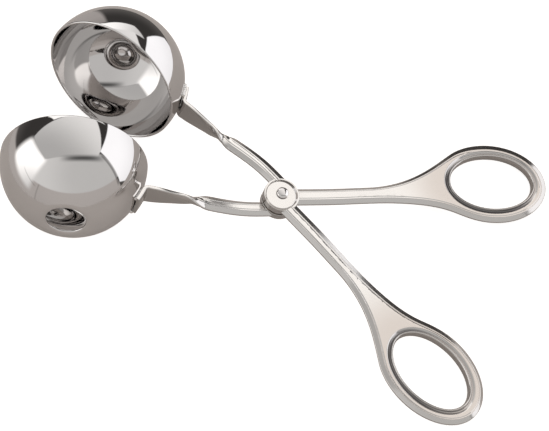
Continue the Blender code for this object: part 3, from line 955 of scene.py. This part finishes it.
# Studio
def direction(azimuth, elevation):
    a, e = math.radians(azimuth), math.radians(elevation)
    return Vector((math.sin(a) * math.cos(e), math.cos(a) * math.cos(e), math.sin(e)))


def arc_normal(first, second):
    return direction(*first).cross(direction(*second)).normalized()


class Tent(Nodes):
    """The light tent's brightness in each direction."""

    def __init__(self, tree):
        super().__init__(tree)
        self.way = self.add('ShaderNodeTexCoord').outputs["Generated"]

    def panel_mask(self, corners, softness):
        """1 inside a panel and 0 outside, from the planes through its edges and the object."""
        middle = sum((direction(*c) for c in corners), Vector()).normalized()
        product = None
        for i, corner in enumerate(corners):
            normal = arc_normal(corner, corners[(i + 1) % len(corners)])
            if normal.dot(middle) < 0.0:
                normal.negate()
            step = self.ramp(self.along(self.way, normal), -softness / 2, softness / 2)
            product = step if product is None else self.value_math('MULTIPLY', product, step)
        return product

    def slope(self, bright_way, bright, dark_way, dark):
        """Brightness that falls from one direction to another."""
        first, last = direction(*bright_way), direction(*dark_way)
        axis = (first - last).normalized()
        return self.ramp(self.along(self.way, axis), axis.dot(last), axis.dot(first), dark, bright)

    def seam(self, below, first, last, half_width, softness, depth):
        """Darkens a thin band along the arc between two directions."""
        start, stop = direction(*first), direction(*last)
        middle = (start + stop).normalized()
        across = self.value_math('ABSOLUTE', self.along(self.way, arc_normal(first, last)))
        band = self.ramp(across, half_width, half_width + softness, 1.0 - depth, 1.0)
        reach = start.dot(middle)
        within = self.ramp(self.along(self.way, middle), reach - softness, reach + softness)
        return self.scaled(below, self.mixed(within, 1.0, band, 'FLOAT'))


def make_world():
    """White to the camera, and the light tent to everything else."""
    world = bpy.data.worlds.new("light_tent")
    bpy.context.scene.world = world
    world.use_nodes = True
    world.node_tree.nodes.clear()
    n = Tent(world.node_tree)
    tent = n.scaled(WARM, n.ramp(n.along(n.way, (0.0, 0.0, 1.0)), *ROOM_FADE))
    for corners, softness, tint, *ends in PANELS.values():
        tent = n.mixed(n.panel_mask(corners, softness), tent, n.scaled(tint, n.slope(*ends)))
    for ends_and_widths in SEAMS.values():
        tent = n.seam(tent, *ends_and_widths)
    glow = n.add('ShaderNodeBackground', {"Color": tent})
    white = n.add('ShaderNodeBackground', {"Color": opaque(WHITE)})
    path = n.add('ShaderNodeLightPath')
    pick = n.add('ShaderNodeMixShader',
                 {0: path.outputs["Is Camera Ray"], 1: glow.outputs[0], 2: white.outputs[0]})
    n.add('ShaderNodeOutputWorld', {"Surface": pick.outputs[0]})


def make_floor():
    """A pale matt floor, lifted towards white for the camera alone."""
    bm = bmesh.new()
    bmesh.ops.create_circle(bm, cap_ends=True, segments=FLOOR_SIDES, radius=FLOOR_RADIUS,
                            matrix=Matrix.Translation((0.0, 0.0, -FLOOR_DROP)))
    floor = finish_mesh("floor", bm)
    mat = bpy.data.materials.new("pale_floor")
    mat.use_nodes = True
    mat.node_tree.nodes.clear()
    n = Nodes(mat.node_tree)
    path = n.add('ShaderNodeLightPath')
    strength = n.value_math('MULTIPLY', path.outputs["Is Camera Ray"], FLOOR_CAMERA_GLOW)
    matt = n.add('ShaderNodeBsdfDiffuse', {"Color": opaque(FLOOR_COLOUR)})
    glow = n.add('ShaderNodeEmission', {"Color": opaque(WHITE), "Strength": strength})
    both = n.add('ShaderNodeAddShader', {0: matt.outputs[0], 1: glow.outputs[0]})
    n.add('ShaderNodeOutputMaterial', {"Surface": both.outputs[0]})
    floor.data.materials.append(mat)


def make_camera():
    data = bpy.data.cameras.new("camera")
    data.sensor_width = SENSOR_WIDTH
    data.lens = FOCAL_PIXELS * SENSOR_WIDTH / IMAGE_WIDTH
    data.shift_x = (IMAGE_WIDTH / 2 - PIVOT_PIXEL[0]) / IMAGE_WIDTH
    data.shift_y = (PIVOT_PIXEL[1] - IMAGE_HEIGHT / 2) / IMAGE_WIDTH
    camera = bpy.data.objects.new("camera", data)
    bpy.context.scene.collection.objects.link(camera)
    back = Vector((math.sin(CAMERA_AZIMUTH) * math.cos(CAMERA_ELEVATION),
                   -math.cos(CAMERA_AZIMUTH) * math.cos(CAMERA_ELEVATION), math.sin(CAMERA_ELEVATION)))
    level = Vector((math.cos(CAMERA_AZIMUTH), math.sin(CAMERA_AZIMUTH), 0.0))
    rise = back.cross(level)
    right = level * math.cos(CAMERA_ROLL) + rise * math.sin(CAMERA_ROLL)
    up = rise * math.cos(CAMERA_ROLL) - level * math.sin(CAMERA_ROLL)
    turn = Matrix((right, up, back)).transposed().to_4x4()
    camera.matrix_world = PLANE @ Matrix.Translation(back * CAMERA_DISTANCE) @ turn
    bpy.context.scene.camera = camera


def main():
    materials = {kind: steel(kind) for kind in ("mirror", "weld", "turned", "dull_and_gap_shaded")}
    for side, body in (("upper", "upper_half"), ("lower", "lower_half")):
        arm_place = ARM_PLACES[side]
        cup_place = arm_place @ CUP_PLACE
        place(make_arm(side), arm_place, body, satin(side), "satin_steel", side + "_arm")
        place(make_weld(side), arm_place, body, materials["weld"], "satin_steel")
        place(make_cup(side), cup_place, body, materials["mirror"], "polished_steel", side + "_cup")
    place(make_rivet(), PLANE, "lower_half", materials["turned"], "satin_steel", "pivot_rivet")
    place(make_washer(), PLANE, "lower_half", materials["dull_and_gap_shaded"], "satin_steel", "pivot_washer")
    make_world()
    make_floor()
    make_camera()
    bpy.context.scene.view_settings.view_transform = 'Standard'


main()
